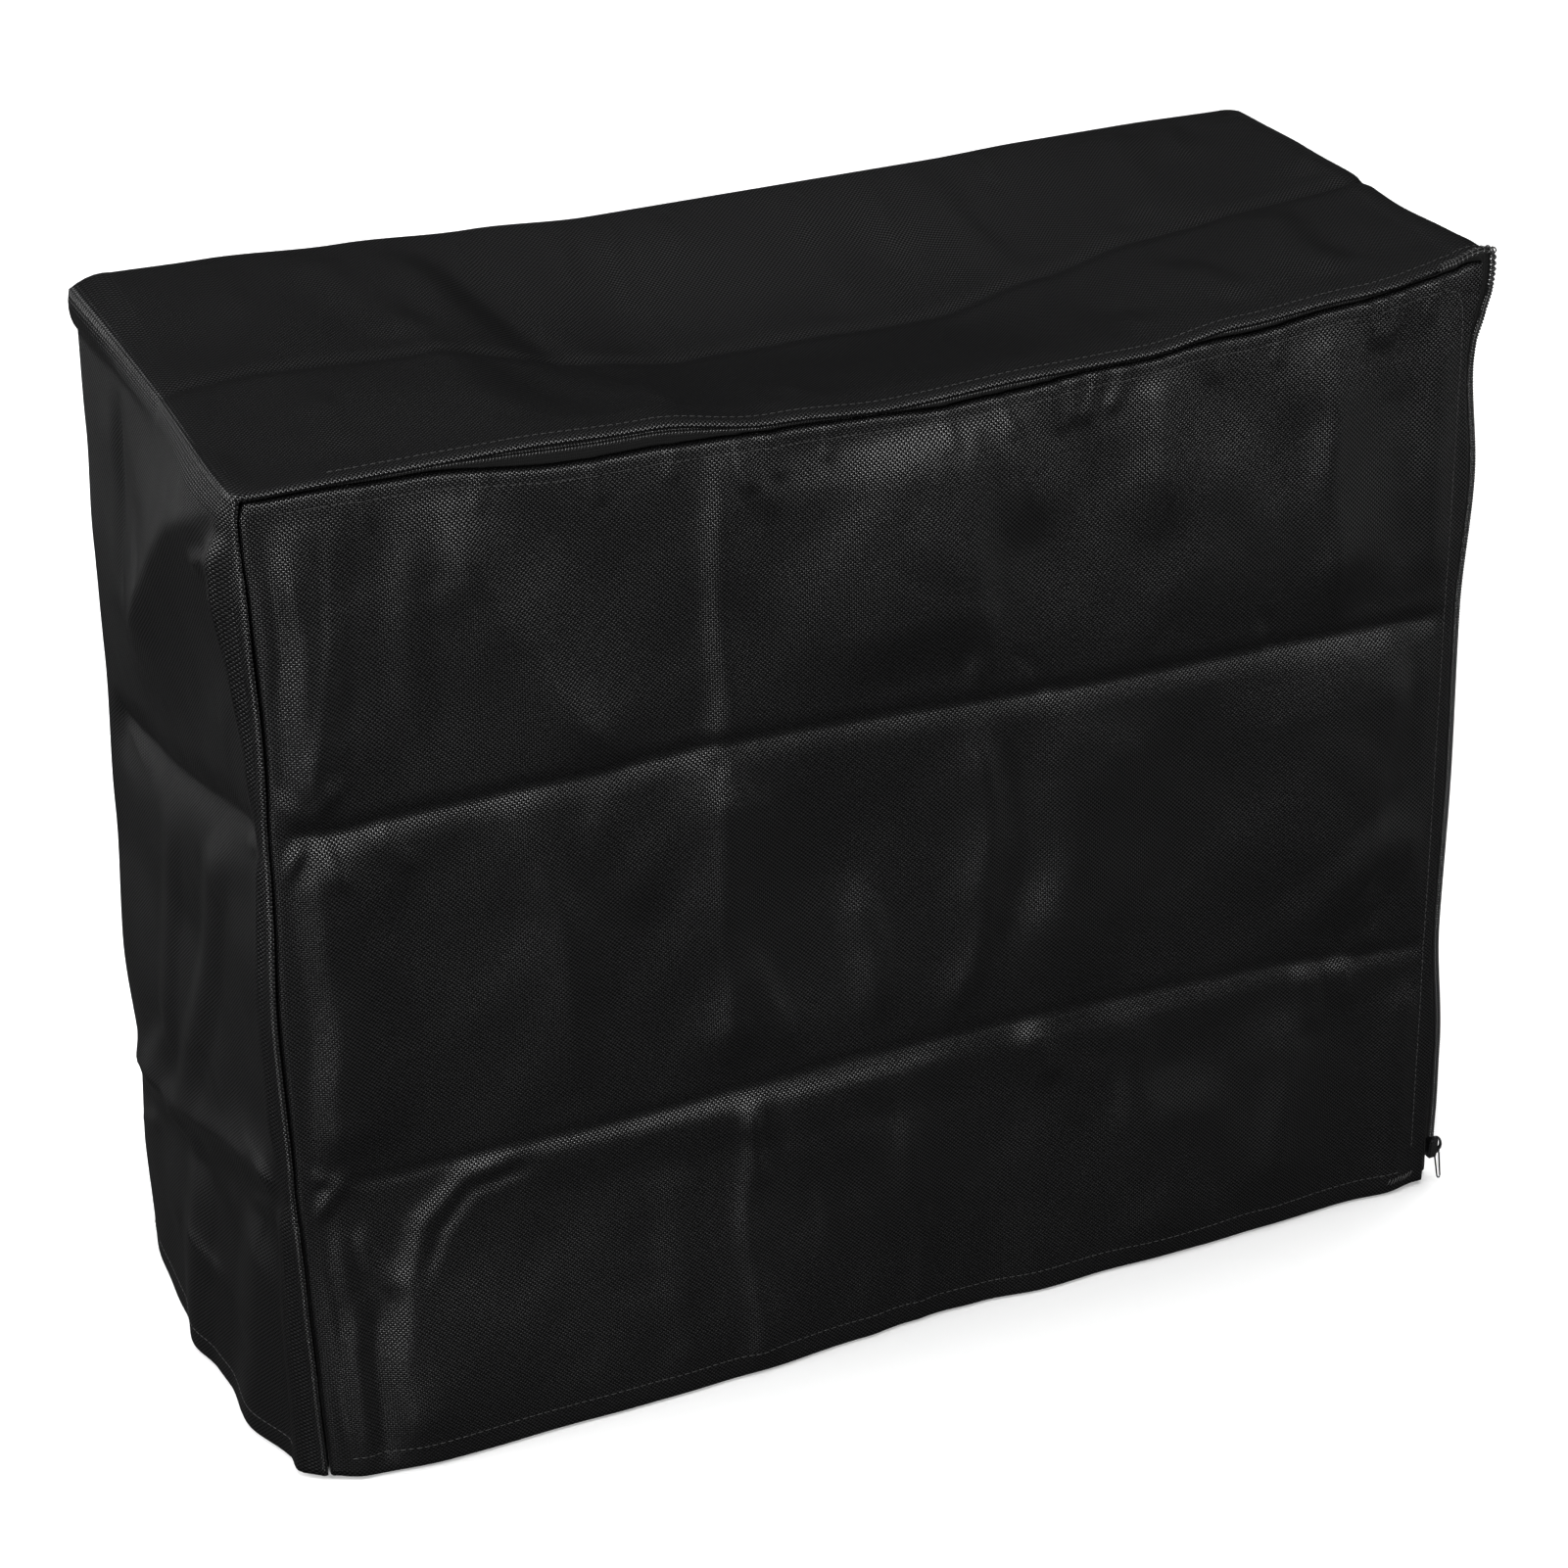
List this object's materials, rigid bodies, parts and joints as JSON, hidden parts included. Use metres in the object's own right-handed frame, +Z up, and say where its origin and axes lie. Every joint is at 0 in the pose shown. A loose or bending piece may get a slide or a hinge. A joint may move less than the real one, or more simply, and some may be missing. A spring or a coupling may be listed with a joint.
{
  "type": "computer dust cover",
  "caption": "Open-bottomed fabric dust cover for a tower computer, with a zip along the front edges of its top and right side.",
  "frame": {"origin": "the underside of the top at the middle of its width and depth, where it would lie on a computer", "axes": "+X along the wide face towards the zipped right side, +Y from the zipped front panel to the back panel, +Z up"},
  "size_m": [0.5383, 0.2219, 0.4403],
  "materials": {
    "oxford_cloth": "semi-gloss coated plain weave",
    "zip_tape": "matte twill tape",
    "zip_coil": "satin nylon",
    "zip_metal": "polished nickel"
  },
  "bodies": {
    "root": {"front_panel": "oxford_cloth", "gusset_band": "oxford_cloth", "back_panel": "oxford_cloth", "zip_tape_front": "zip_tape", "zip_tape_band": "zip_tape", "zip_chain": "zip_coil", "zip_slider": "zip_metal", "zip_puller": "zip_metal"}
  },
  "joints": []
}
